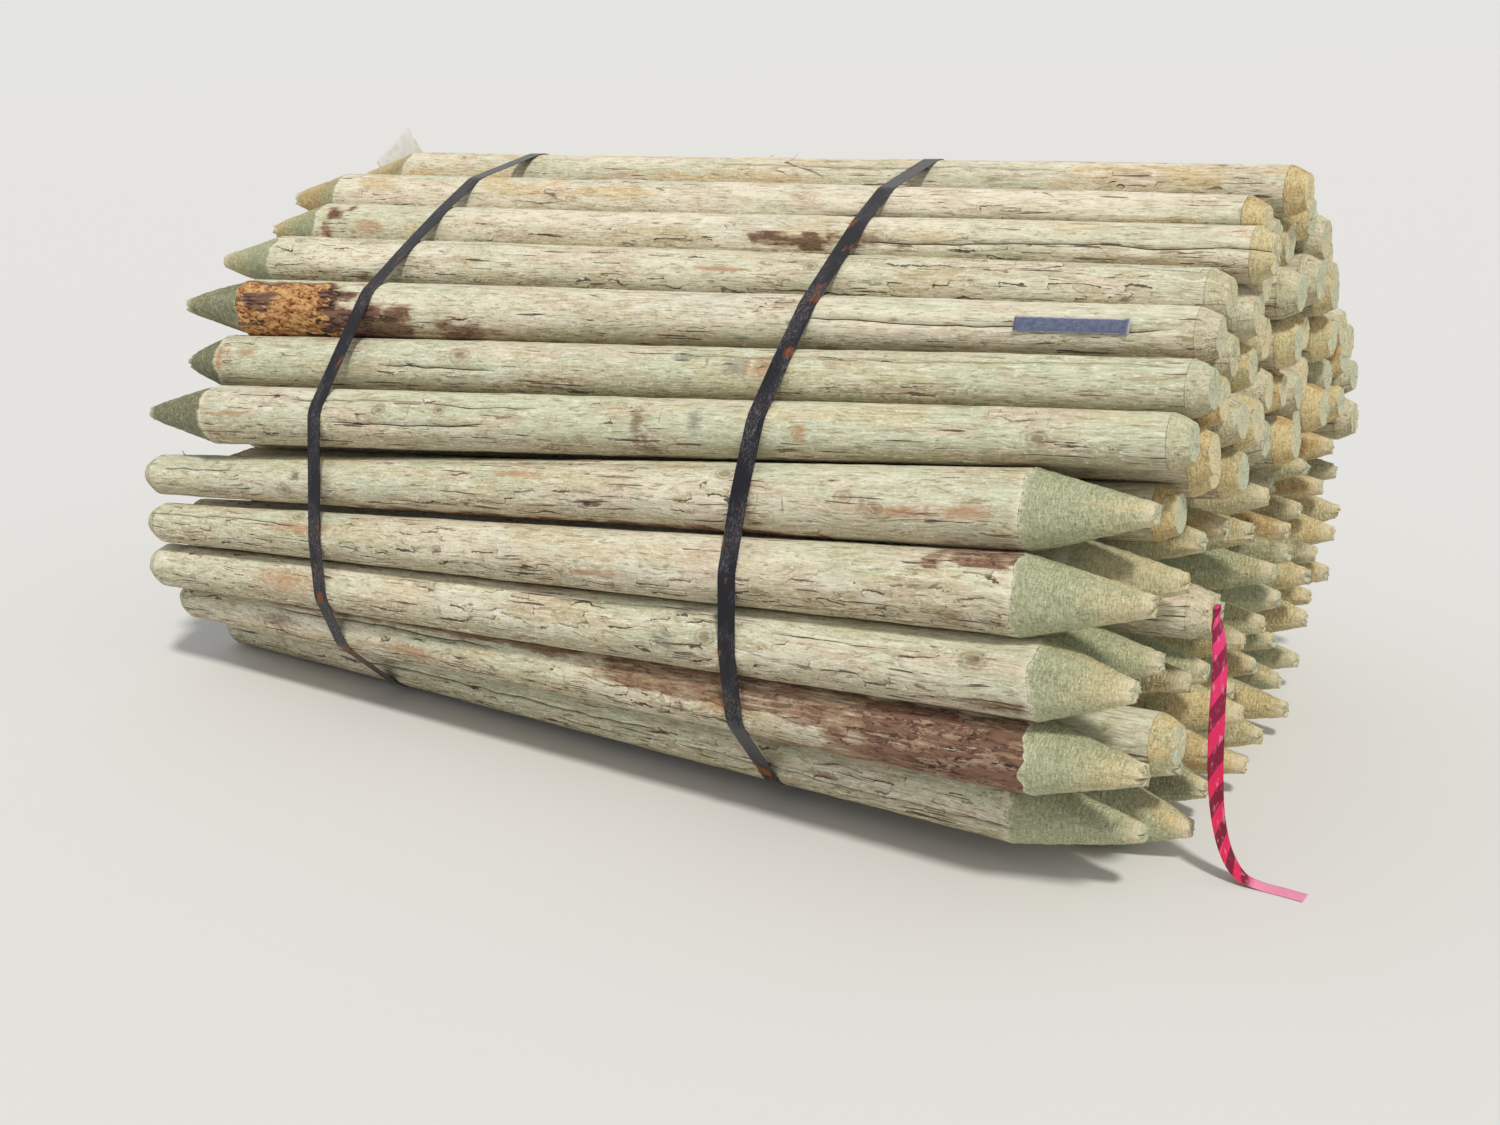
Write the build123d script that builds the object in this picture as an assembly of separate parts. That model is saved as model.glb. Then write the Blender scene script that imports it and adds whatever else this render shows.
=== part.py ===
from build123d import *
import os
import numpy as np

# A strapped bundle of round, peeled and treated fence posts, lying on level ground.
# X runs along the posts, Z is up, and the origin is under the middle of the bundle, on the ground.
# The lower half of the posts has its pointed butts at +X, the upper half at -X, so that the tapers
# cancel and the bundle stays as thick at one end as at the other.

# Posts
POST_COUNT = 100
LOWER_POSTS = 50
POST_LENGTH = 2134.0
BUTT_DIAMETER = 122.0
SMALL_END_DIAMETER = 86.0
DIAMETER_SPREAD = 5.0
POINT_LENGTH = 170.0
POINT_LENGTH_SPREAD = 35.0
TIP_DIAMETER = 30.0
CHAMFER_LENGTH = 32.0
CHAMFER_DEPTH = 13.0
END_SCATTER = 26.0

# How the posts lie together: the gap left between two that touch, and the section inside the straps,
# which is an ellipse cut by the ground up to its widest height and a blunter curve above it
POST_GAP = 0.6
WIDTH_TO_HEIGHT = 1.31
WIDEST_HEIGHT_SHARE = 0.42
ROUND_BOTTOM = 1.2
BOTTOM_POWER = 2.0
TOP_POWER = 1.6
FILLED_SHARE = 0.86
LAYERS_PER_HALF = 6
SEED = 12

# Steel straps, and the seals that are crimped over their ends
STRAP_WIDTH = 32.0
STRAP_THICKNESS = 1.0
STRAP_GAP = 0.3
LEFT_STRAP_SHARE = 0.25
RIGHT_STRAP_SHARE = 0.69
SEAL_LENGTH = 46.0
SEAL_THICKNESS = 1.2
SEAL_GAP = 0.2
SEAL_NOTCH = 2.5
SEAL_DIRECTION = 62.0

# Paper tag, stapled behind the point of the top post with one corner up
TAG_LENGTH = 140.0
TAG_WIDTH = 80.0
TAG_THICKNESS = 0.6
TAG_GAP = 0.3
TAG_FROM_END = 82.0
TAG_RISE = 44.0
TAG_TURN = 35.0

# Flagging tape, stapled to the right end of a post that lies the other way and hanging to the ground
TAPE_WIDTH = 28.0
TAPE_THICKNESS = 0.6
TAPE_GAP = 0.3
TAPE_HELD = 14.0
TAPE_BEND_RADIUS = 45.0
TAPE_TAIL = 120.0

# Posts of the lower half that lie the other way, counted from the one that is nearest to this place,
# given as shares of the section's half width and height
TURNED_POSTS = 2
TURNED_SIDE = -0.62
TURNED_HEIGHT = 0.29

# The lowest post of the upper half's outer row lies the other way too, nearest to this place
OUTER_TURNED_SIDE = -0.83
OUTER_TURNED_HEIGHT = 0.50

# Where the posts start from: how far out, how much lower at the ground, and how far a half may be moved
START_REACH = 0.94
START_DEPTH = 1.06
MOST_MOVED = 0.7

# The settling: rounds under pressure, rounds without it, stations along a post between its ends, and
# how far in from the ends the outer ones are while there is pressure
PRESSING_ROUNDS = 1500
FREEING_ROUNDS = 1800
STATIONS = 13
PRESSED_FROM_END = 174.0
SLACK = 0.15
SINKING = 0.02
LIFT = STRAP_GAP + STRAP_THICKNESS
NEAR_POSTS = BUTT_DIAMETER / 3
ROUNDS_BETWEEN_SEARCHES = 10
LEVELS = 400
NEARLY_NOTHING = 0.000001

# The straps' way round the posts: directions tried, and the least turn that counts as lying on a post
DIRECTIONS = 7200
LEAST_TURN = 0.6
TAG_EDGE_PLACES = 81


def post_sizes():
    """Each post's sizes: which way it points, its radii, its point and how far its ends stick out."""
    rng = np.random.default_rng(SEED)
    spread = DIAMETER_SPREAD / 2
    return {
        "butt": BUTT_DIAMETER / 2 + rng.uniform(-spread, spread, POST_COUNT),
        "small": SMALL_END_DIAMETER / 2 + rng.uniform(-spread, spread, POST_COUNT),
        "point": POINT_LENGTH + rng.uniform(-POINT_LENGTH_SPREAD, POINT_LENGTH_SPREAD, POST_COUNT),
        "shift": rng.uniform(-END_SCATTER, END_SCATTER, POST_COUNT),
    }


def station_places(from_end):
    """Places along X where posts are kept apart: past both ends, and in between from from_end inwards."""
    edge = POST_LENGTH / 2
    inner = edge - from_end
    outer = edge + END_SCATTER
    return np.concatenate([[-outer], np.linspace(-inner, inner, STATIONS), [outer]])


def stations(sizes, butt_right, from_end):
    """The stations as shares of a post's length, each end's grip on them, and all posts' radii there.

    Past the last full body the radius is the tip's.
    """
    x = station_places(from_end)
    t = x / POST_LENGTH + 0.5
    grip = np.stack([1 - t, t]) / ((1 - t) ** 2 + t**2)
    along = (x[None, :] - sizes["shift"][:, None]) / POST_LENGTH + 0.5
    from_butt = np.where(butt_right[:, None], 1 - along, along)
    butt, small = sizes["butt"][:, None], sizes["small"][:, None]
    radii = butt + (small - butt) * from_butt
    radii[~butt_right, 0] = TIP_DIAMETER / 2
    radii[butt_right, -1] = TIP_DIAMETER / 2
    return t, grip, radii


def outline(sizes):
    """Half width and height of the strapped section, from the wood that it has to hold."""
    mean = (sizes["butt"] + sizes["small"]) / 2
    area = np.pi * np.sum(mean**2) / FILLED_SHARE
    share = np.linspace(0, 1, LEVELS)
    level = share - WIDEST_HEIGHT_SHARE
    below = np.clip(-level / (WIDEST_HEIGHT_SHARE * ROUND_BOTTOM), 0, 1)
    above = np.clip(level / (1 - WIDEST_HEIGHT_SHARE), 0, 1)
    wide = np.where(
        level < 0,
        (1 - below**BOTTOM_POWER) ** (1 / BOTTOM_POWER),
        (1 - above**TOP_POWER) ** (1 / TOP_POWER),
    )
    height = np.sqrt(area / (WIDTH_TO_HEIGHT * wide.mean()))
    return WIDTH_TO_HEIGHT * height / 2, height


def reach(y, z, half_width, height):
    """Share of the way from the middle of the section to its outline, at each point."""
    level = z - WIDEST_HEIGHT_SHARE * height
    below = WIDEST_HEIGHT_SHARE * ROUND_BOTTOM * height
    above = (1 - WIDEST_HEIGHT_SHARE) * height
    side = np.abs(y) / half_width
    low = (side**BOTTOM_POWER + (np.abs(level) / below) ** BOTTOM_POWER) ** (1 / BOTTOM_POWER)
    high = (side**TOP_POWER + (np.abs(level) / above) ** TOP_POWER) ** (1 / TOP_POWER)
    return np.where(level < 0, low, high)


def start_places(sizes, half_width, height):
    """Evenly spread places in the section, drawn towards the ground or the top where posts are thin."""
    count = np.arange(POST_COUNT)
    angle = count * np.pi * (3 - np.sqrt(5))
    share = START_REACH * np.sqrt((count + 0.5) / POST_COUNT)
    middle = WIDEST_HEIGHT_SHARE * height
    level = np.where(np.sin(angle) < 0, middle * START_DEPTH, height - middle)
    y = share * np.cos(angle) * half_width
    z = middle + share * np.sin(angle) * level
    order = np.argsort(z)
    lower = np.zeros(POST_COUNT, bool)
    lower[order[:LOWER_POSTS]] = True
    split = z[order[LOWER_POSTS - 1 : LOWER_POSTS + 1]].mean()
    count_share = LOWER_POSTS / POST_COUNT
    ends = []
    for own, other in ((SMALL_END_DIAMETER, BUTT_DIAMETER), (BUTT_DIAMETER, SMALL_END_DIAMETER)):
        wood_share = count_share * own**2 / (count_share * own**2 + (1 - count_share) * other**2)
        moved = min(split * wood_share / count_share, MOST_MOVED * height)
        low = z * moved / split
        high = height - (height - z) * (height - moved) / (height - split)
        ends.append(np.where(lower, low, high))
    places = np.stack([y, ends[0], y, ends[1]], axis=1)
    away = np.hypot(y - TURNED_SIDE * half_width, z - TURNED_HEIGHT * height)
    turned = np.argsort(np.where(lower, away, np.inf))[:TURNED_POSTS]
    rank = np.argsort(order)
    return places, lower, turned, rank


def settle(sizes):
    """Press the posts together inside the strapped section until they touch and none overlaps.

    Each post is a straight line from one end plane to the other. At several stations along X, posts
    that are too close are pushed apart, and what stands out of the section is pushed in. The section
    closes slowly, and in the last rounds only the pushing apart is left. As they begin, one outer post
    of the upper half is turned end for end.
    """
    half_width, height = outline(sizes)
    places, lower, turned, rank = start_places(sizes, half_width, height)
    butt_right = lower.copy()
    butt_right[turned] = False
    sizes["shift"][turned[0]] = END_SCATTER
    t, grip, radii = stations(sizes, butt_right, PRESSED_FROM_END)
    first, second = np.triu_indices(POST_COUNT, 1)
    middle = WIDEST_HEIGHT_SHARE * height
    for count in range(PRESSING_ROUNDS + FREEING_ROUNDS):
        if count == PRESSING_ROUNDS:
            aim = np.array([OUTER_TURNED_SIDE * half_width, OUTER_TURNED_HEIGHT * height])
            away = np.linalg.norm(places.reshape(-1, 2, 2).mean(axis=1) - aim, axis=1)
            butt_right[np.where(lower, np.inf, away).argmin()] = True
            nearest_foot = POINT_LENGTH - POINT_LENGTH_SPREAD - END_SCATTER
            t, grip, radii = stations(sizes, butt_right, nearest_foot)
        y = places[:, [0]] * (1 - t) + places[:, [2]] * t
        z = places[:, [1]] * (1 - t) + places[:, [3]] * t
        lean = np.hypot(places[:, 2] - places[:, 0], places[:, 3] - places[:, 1]) / POST_LENGTH
        size = radii * np.sqrt(1 + lean[:, None] ** 2)
        if count % ROUNDS_BETWEEN_SEARCHES == 0:
            room = np.hypot(y[first] - y[second], z[first] - z[second]) - size[first] - size[second]
            near = room.min(axis=1) < NEAR_POSTS
            a, b = first[near], second[near]
        dy, dz = y[a] - y[b], z[a] - z[b]
        apart = np.hypot(dy, dz)
        push = np.clip(size[a] + size[b] + POST_GAP - apart, 0, None) / (2 * apart)
        move = np.zeros((2,) + y.shape)
        for axis, gap in ((0, dy), (1, dz)):
            np.add.at(move[axis], a, push * gap)
            np.add.at(move[axis], b, -push * gap)
        move[1] += np.clip(size + LIFT - z, 0, None)
        if count < PRESSING_ROUNDS:
            closing = 1 + SLACK * max(0.0, 1 - 2 * count / PRESSING_ROUNDS)
            level = z - middle * closing
            out = np.hypot(y, level)
            share = np.maximum(reach(y, z / closing, half_width * closing, height), NEARLY_NOTHING)
            allowed = out / share - size
            inward = np.clip(out - allowed, 0, None) / np.maximum(out, 1)
            move[0] -= inward * y
            move[1] -= inward * level + SINKING
        touched = np.maximum((np.abs(move).sum(axis=0) > 0).sum(axis=1), 1)
        for end in (0, 1):
            for axis in (0, 1):
                places[:, 2 * end + axis] += (move[axis] * grip[end]).sum(axis=1) / touched
    return places, lower, butt_right, turned, rank


class Post:
    """One post: its axis, the ends of that axis and the radii along it."""

    def __init__(self, sizes, number, place, lower, butt_right, rank):
        self.lower, self.butt_right, self.rank = lower, butt_right, rank
        self.butt, self.small = sizes["butt"][number], sizes["small"][number]
        self.point, self.shift = sizes["point"][number], sizes["shift"][number]
        self.left = Vector(-POST_LENGTH / 2, place[0], place[1])
        self.right = Vector(POST_LENGTH / 2, place[2], place[3])
        self.slope = (self.right - self.left) / POST_LENGTH
        self.height = (place[1] + place[3]) / 2

    def centre(self, x):
        return self.left + self.slope * (x + POST_LENGTH / 2)

    def radius(self, x):
        along = (x - self.shift) / POST_LENGTH + 0.5
        from_butt = 1 - along if self.butt_right else along
        return (self.butt + (self.small - self.butt) * from_butt) * self.slope.length

    def cone_radius(self, x):
        """Radius of the point of a post whose butt is at -X, and past its foot that of the foot."""
        base = self.butt + (self.small - self.butt) * self.point / POST_LENGTH
        share = np.minimum((x - self.shift + POST_LENGTH / 2) / self.point, 1)
        return TIP_DIAMETER / 2 + (base - TIP_DIAMETER / 2) * share

    def solid(self):
        """A pointed butt, a tapering body and a chamfered small end, turned about the post's axis."""
        taper = (self.small - self.butt) / POST_LENGTH
        profile = Polyline(
            (0, 0),
            (TIP_DIAMETER / 2, 0),
            (self.butt + taper * self.point, self.point),
            (self.butt + taper * (POST_LENGTH - CHAMFER_LENGTH), POST_LENGTH - CHAMFER_LENGTH),
            (self.small - CHAMFER_DEPTH, POST_LENGTH),
            (0, POST_LENGTH),
            close=True,
        )
        along = self.slope.normalized() * (-1 if self.butt_right else 1)
        start = self.centre(self.shift) - along * (POST_LENGTH / 2)
        return Plane(origin=start, z_dir=along) * revolve(Plane.XZ * make_face(profile), Axis.Z)


def tight_loop(posts, x_places, offset):
    """A line drawn tight round the posts, seen along X: arcs on the posts and straight runs between.

    The direction in which each post stands out furthest gives the order, and the run from one post to
    the next touches both where the two stand out equally far. A post that the line only grazes, and
    would turn about by less than LEAST_TURN, gets no arc of its own.
    """
    discs = np.array([(*tuple(p.centre(x))[1:], p.radius(x)) for p in posts for x in x_places])
    angle = np.linspace(-np.pi, np.pi, DIRECTIONS, endpoint=False)
    out = discs[:, [0]] * np.cos(angle) + discs[:, [1]] * np.sin(angle) + discs[:, [2]]
    owner = out.argmax(axis=0)
    change = np.flatnonzero(owner != np.roll(owner, 1))
    held = np.diff(np.append(change, change[0] + DIRECTIONS)) * 360 / DIRECTIONS
    order = discs[owner[change[held > LEAST_TURN]]]
    runs = []
    for this, after in zip(order, np.roll(order, -1, axis=0)):
        across = after[:2] - this[:2]
        heading = np.arctan2(across[1], across[0])
        runs.append(heading - np.arccos((this[2] - after[2]) / np.hypot(*across)))
    edges, straights = [], []
    for this, after, start, end in zip(order, np.roll(order, -1, axis=0), np.roll(runs, 1), runs):
        turn = (end - start) % (2 * np.pi)
        arc = CenterArc(tuple(this[:2]), this[2] + offset, np.degrees(start), np.degrees(turn))
        normal = np.array([np.cos(end), np.sin(end)])
        foot = this[:2] + normal * (this[2] + offset)
        head = after[:2] + normal * (after[2] + offset)
        edges += [arc, Line(tuple(foot), tuple(head))]
        straights.append((foot, head, normal))
    return edges, straights, discs


def strap(posts, x):
    """A flat steel band drawn tight round the bundle, with its middle at x."""
    sides = (x - STRAP_WIDTH / 2, x + STRAP_WIDTH / 2)
    outer = tight_loop(posts, sides, STRAP_GAP + STRAP_THICKNESS)[0]
    inner, straights, discs = tight_loop(posts, sides, STRAP_GAP)
    section = make_face(outer) - make_face(inner)
    band = extrude(Plane.YZ * section, STRAP_WIDTH)
    return Pos(sides[0], 0, 0) * band, straights, discs


def seal(straights, discs, x):
    """The sleeve crimped over the strap's ends, on a straight run that has room for it underneath.

    Of those runs it takes the one that faces closest to SEAL_DIRECTION.
    """
    places = []
    for foot, head, normal in straights:
        middle = (foot + head) / 2
        tangent = (head - foot) / np.hypot(*(head - foot))
        from_under = discs[:, :2] - (middle - normal * (SEAL_GAP + SEAL_THICKNESS))
        beyond = np.clip(np.abs(from_under @ tangent) - SEAL_LENGTH / 2, 0, None)
        room = np.hypot(beyond, from_under @ normal) - discs[:, 2]
        if room.min() > SEAL_GAP:
            places.append((middle + normal * STRAP_THICKNESS / 2, normal))
    wanted = np.radians(SEAL_DIRECTION)
    middle, normal = max(places, key=lambda place: place[1] @ (np.cos(wanted), np.sin(wanted)))
    hollow = Box(STRAP_WIDTH + 2 * SEAL_GAP, SEAL_LENGTH, STRAP_THICKNESS + 2 * SEAL_GAP)
    grown = 2 * (SEAL_GAP + SEAL_THICKNESS)
    sleeve = Box(STRAP_WIDTH + grown, SEAL_LENGTH, STRAP_THICKNESS + grown) - hollow
    for side in (-1, 1):
        for crimp in (-1, 1):
            notch = Cylinder(SEAL_NOTCH, 4 * SEAL_THICKNESS + STRAP_THICKNESS)
            sleeve -= Pos(side * (STRAP_WIDTH + grown) / 2, crimp * SEAL_LENGTH / 4, 0) * notch
    return Plane(origin=(x, *middle), x_dir=(1, 0, 0), z_dir=(0, *normal)) * sleeve


def paper_tag(top_post):
    """A small rectangle of stiff paper, upright against the back of the top post's point.

    Its lower long edge lies along the cone, so the sheet stands as far back as the cone reaches there.
    """
    x = TAG_FROM_END - POST_LENGTH / 2
    turn = np.radians(TAG_TURN)
    edge = np.linspace(-TAG_LENGTH / 2, TAG_LENGTH / 2, TAG_EDGE_PLACES)
    along = edge * np.cos(turn) + TAG_WIDTH / 2 * np.sin(turn)
    above = edge * np.sin(turn) - TAG_WIDTH / 2 * np.cos(turn) + TAG_RISE
    reach_there = top_post.cone_radius(x + along) + TAG_GAP
    back = np.sqrt(np.clip(reach_there**2 - above**2, 0, None)).max() + TAG_THICKNESS / 2
    middle = top_post.centre(x) + Vector(0, back, TAG_RISE)
    sheet = Rot(0, -TAG_TURN, 0) * Box(TAG_LENGTH, TAG_THICKNESS, TAG_WIDTH)
    return Pos(middle.X, middle.Y, middle.Z) * sheet


def flagging_tape(post):
    """A ribbon held flat on the post's right end, hanging down past the ends below and along the ground."""
    along = post.slope.normalized()
    end = post.centre(post.shift) + along * (POST_LENGTH / 2)
    face = end.X + (post.small - CHAMFER_DEPTH) * np.hypot(along.Y, along.Z) + TAPE_GAP
    middle = face + TAPE_THICKNESS / 2
    low = TAPE_THICKNESS / 2
    path = FilletPolyline(
        (middle, end.Z + TAPE_HELD),
        (middle, low),
        (middle + TAPE_BEND_RADIUS + TAPE_TAIL, low),
        radius=TAPE_BEND_RADIUS,
    )
    ribbon = extrude(Plane.XZ * trace(path, TAPE_THICKNESS), TAPE_WIDTH / 2, both=True)
    return Pos(0, end.Y, 0) * ribbon


def layers(posts):
    """The posts of one half in courses of about as many each, by the height that they started from."""
    ranked = sorted(posts, key=lambda post: post.rank)
    return [list(course) for course in np.array_split(np.array(ranked, dtype=object), LAYERS_PER_HALF)]


def bundle():
    """Every piece by name, as it lies when the bundle's middle is at X = 0."""
    sizes = post_sizes()
    places, lower, butt_right, turned, rank = settle(sizes)
    posts = [Post(sizes, i, places[i], lower[i], butt_right[i], rank[i]) for i in range(POST_COUNT)]
    pieces = {}
    for half, wanted in (("lower", True), ("upper", False)):
        for number, course in enumerate(layers([post for post in posts if post.lower == wanted]), 1):
            pieces[f"{half}_posts_layer_{number}"] = Compound([post.solid() for post in course])
    for side, share in (("left", LEFT_STRAP_SHARE), ("right", RIGHT_STRAP_SHARE)):
        x = (share - 0.5) * POST_LENGTH
        band, straights, discs = strap(posts, x)
        pieces[f"{side}_strap"] = band
        pieces[f"{side}_strap_seal"] = seal(straights, discs, x)
    pieces["paper_tag"] = paper_tag(max(posts, key=lambda post: post.height))
    pieces["flagging_tape"] = flagging_tape(posts[turned[0]])
    return pieces


def main():
    os.makedirs("parts", exist_ok=True)
    pieces = bundle()
    box = Compound(list(pieces.values())).bounding_box()
    to_origin = Pos(-box.center().X, -box.center().Y, -box.min.Z)
    for name, piece in pieces.items():
        export_step(to_origin * piece, f"parts/{name}.step")


main()
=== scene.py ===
import bpy
import numpy as np
from mathutils import Matrix, Vector


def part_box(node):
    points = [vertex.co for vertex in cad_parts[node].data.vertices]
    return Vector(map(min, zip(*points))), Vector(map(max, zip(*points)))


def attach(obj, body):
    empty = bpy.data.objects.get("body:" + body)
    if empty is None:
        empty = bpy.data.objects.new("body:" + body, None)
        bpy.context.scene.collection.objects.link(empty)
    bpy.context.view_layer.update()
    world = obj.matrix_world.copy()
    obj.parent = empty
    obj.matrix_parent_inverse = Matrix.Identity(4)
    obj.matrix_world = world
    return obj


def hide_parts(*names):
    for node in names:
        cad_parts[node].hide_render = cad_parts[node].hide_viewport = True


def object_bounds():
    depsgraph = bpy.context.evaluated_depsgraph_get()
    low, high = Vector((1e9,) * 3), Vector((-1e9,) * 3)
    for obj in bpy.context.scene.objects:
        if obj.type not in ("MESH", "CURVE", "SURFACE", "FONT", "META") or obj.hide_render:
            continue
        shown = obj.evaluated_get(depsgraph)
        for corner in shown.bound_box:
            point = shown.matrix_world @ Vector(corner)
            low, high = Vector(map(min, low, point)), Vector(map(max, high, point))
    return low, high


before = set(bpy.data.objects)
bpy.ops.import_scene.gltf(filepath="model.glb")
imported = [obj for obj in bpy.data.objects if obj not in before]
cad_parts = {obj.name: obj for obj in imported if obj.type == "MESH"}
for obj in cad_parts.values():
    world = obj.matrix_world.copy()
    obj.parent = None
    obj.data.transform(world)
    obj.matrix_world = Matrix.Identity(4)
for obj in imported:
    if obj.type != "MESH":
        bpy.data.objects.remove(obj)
cad_box = [list(corner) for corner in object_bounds()]


# Treated posts. Round pine, peeled by machine and soaked in a pale green preservative, with a point cut
# on the thick end and a chamfer on the thin one. They are only laid on each other, and the straps hold
# them. Bark is left in places, and the wood has checked as it dried.
LAYERS = [f"{half}_posts_layer_{n}" for half in ("lower", "upper") for n in range(1, 7)]
STRAP_MIDDLES = [sum(corner.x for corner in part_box(side + "_strap")) / 2 for side in ("left", "right")]
CLEAR_OF_STRAP = (0.022, 0.06)
SECTION_MIDDLE = (0.0, 0.46)
SEEN_STRIPE = 0.004
SEEN_LEAST = 4
VIEWS_ROUND = 60
# Rings on the tip's face, the point, the body, the chamfer and the end face, and columns round the post.
SEEN_GRID = (4, 44, 128, 8, 6), 60
HIDDEN_GRID = (3, 24, 10, 5, 5), 36
EDGE_LIP = 0.0010
TORN_TIP = 0.010
SAWN_ROUGHNESS = 0.0010
SAW_MARKS = 0.0009
BOW = 0.0015
OVAL = 0.010
CRACK_WIDTH = 0.0015
CRACK_DEPTH = 0.006
PULL_OF_CRACK = 0.30
KNOT_SWELLING = 0.0020
UNEVEN_FOOT = 0.010
FAR_OFF = 6.0
MEAN_RADIUS = 0.052
CHIP = (0.040, 0.0100)
# Shift towards the light at which the chips are read again, for their painted shadow lines and painted
# highlights.
LEDGE_SHADOW_OFFSET = (0.0018, 0.0026, 0.0)
# What the mesh says about the wood at each corner, in three numbers and in one.
VECTOR_LOOKS = ("in_post", "knot", "stain", "tone", "wear", "blotches")
PLAIN_LOOKS = ("cut", "end", "bark", "crack", "rim", "weathered", "foot")

# The posts on the side seen first, from the top down: the middle of the section in Y and Z, and how green
# and how warm the wood is.
FRONT_ROW = {
    1: (0.037, 0.989, 0.2, 0.8),
    2: (-0.136, 0.955, 0.3, 0.8),
    3: (-0.228, 0.907, 0.35, 0.5),
    4: (-0.318, 0.853, 0.45, 0.4),
    5: (-0.416, 0.792, 0.5, 0.3),
    6: (-0.486, 0.708, 0.95, 0.3),
    7: (-0.569, 0.634, 0.8, 0.4),
    8: (-0.595, 0.523, 0.6, 0.4),
    9: (-0.633, 0.416, 0.5, 0.38),
    10: (-0.638, 0.307, 0.6, 0.4),
    11: (-0.616, 0.204, 0.5, 0.42),
    12: (-0.509, 0.081, 0.85, 0.2),
}
# What they show there. A place is in metres along X, and in degrees up from level. Bark: start, stop, lowest,
# highest, thickness, and how whole it is, where half is only the brown skin under it.
BARK = {
    5: [
        (-0.985, -0.62, -80, 74, 0.0040, 1.0),
        (-0.72, -0.44, -80, 16, 0.0018, 0.72),
        (-0.46, -0.26, -60, -4, 0.0010, 0.55),
    ],
    3: [(-0.935, -0.84, -40, 75, 0.0018, 0.8), (0.10, 0.32, 0, 30, 0.0016, 0.7)],
    8: [(-0.62, 0.48, -80, -48, 0.0018, 0.7)],
    9: [(0.60, 0.82, 50, 105, 0.0012, 0.56)],
    11: [
        (0.46, 0.86, -60, 78, 0.0014, 0.62),
        (-0.90, 0.0, 44, 84, 0.0010, 0.45),
        (-0.04, 0.56, 6, 82, 0.0010, 0.50),
        (0.30, 0.86, -80, -40, 0.0010, 0.50),
    ],
}
# Stains: place, half length, half height, and the tone, 0.1 grey, 0.35 rust, 0.6 brown, 0.85 near black.
STAINS = {
    5: [(-0.64, -6, 0.022, 0.012, 0.85), (-0.985, 40, 0.030, 0.016, 0.35), (0.36, -44, 0.030, 0.010, 0.6)],
    3: [(-0.80, 20, 0.050, 0.016, 0.35), (0.34, 20, 0.060, 0.012, 0.6)],
    6: [
        (0.241, 32, 0.026, 0.016, 0.1),
        (0.292, 33, 0.024, 0.019, 0.35),
        (-0.90, 34, 0.022, 0.010, 0.35),
        (-0.985, 18, 0.014, 0.034, 0.35),
    ],
    7: [
        (-0.85, 14, 0.060, 0.006, 0.35),
        (0.10, 20, 0.012, 0.030, 0.6),
        (0.12, -34, 0.030, 0.012, 0.6),
        (0.21, 24, 0.014, 0.024, 0.1),
        (0.40, 8, 0.012, 0.018, 0.35),
    ],
    8: [(0.335, 14, 0.016, 0.028, 0.6), (-0.69, 24, 0.014, 0.012, 0.85), (-0.14, 44, 0.060, 0.008, 0.35)],
    9: [(-0.66, 34, 0.100, 0.014, 0.35), (0.05, -6, 0.070, 0.007, 0.35)],
    10: [(-0.72, 18, 0.090, 0.030, 0.35), (0.20, 2, 0.024, 0.020, 0.1), (0.78, -30, 0.070, 0.012, 0.6)],
    11: [(-0.80, 6, 0.060, 0.014, 0.6), (-0.42, -6, 0.070, 0.012, 0.35), (0.30, 8, 0.060, 0.014, 0.35)],
    4: [(0.10, 30, 0.05, 0.006, 0.35), (-0.72, -12, 0.02, 0.008, 0.6)],
}
# Knots: place and half size. Long cracks: start, stop and direction.
KNOTS = {
    6: [(-0.348, 40, 0.014)],
    7: [(-0.46, 30, 0.010), (-0.32, 34, 0.009), (0.78, 12, 0.011)],
    2: [(0.95, 30, 0.012)],
    8: [(-0.72, -8, 0.012), (0.56, 8, 0.009)],
    9: [(0.70, -22, 0.013), (-0.30, 10, 0.008)],
    10: [(0.74, 38, 0.014), (0.28, 20, 0.012)],
    4: [(0.28, 42, 0.008)],
}
LONG_CRACKS = {
    7: [(-0.60, -0.20, 2), (0.62, 1.0, -2), (0.02, 0.34, -24)],
    8: [(-1.10, -0.86, 26), (0.42, 0.86, 36)],
    6: [(0.10, 0.96, 56), (-0.55, -0.25, 10)],
    5: [(0.30, 0.92, 20)],
    2: [(0.20, 0.98, 4)],
    12: [(-0.80, 0.10, 10), (0.15, 0.80, -8)],
}
HEAVY_CHECKS = (4, 9, 10, 11, 12)
# Points on these front posts made darker and greener: partly weathering, partly painted shade.
SHADED_WEATHERED_POINTS = {5: 0.8, 6: 1.0, 7: 1.0}
# Torn places: where, direction up from level, length, width and lift of each splinter.
TORN = {
    1: [(0.02, 62, 0.05, 0.003, 0.030), (0.05, 50, 0.08, 0.003, 0.008), (-0.01, 44, 0.06, 0.002, 0.004)],
    2: [(-0.42, 40, 0.05, 0.006, 0.012), (-0.16, 56, 0.03, 0.003, 0.010)],
    5: [(-0.12, 64, 0.04, 0.002, 0.006)],
}


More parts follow.
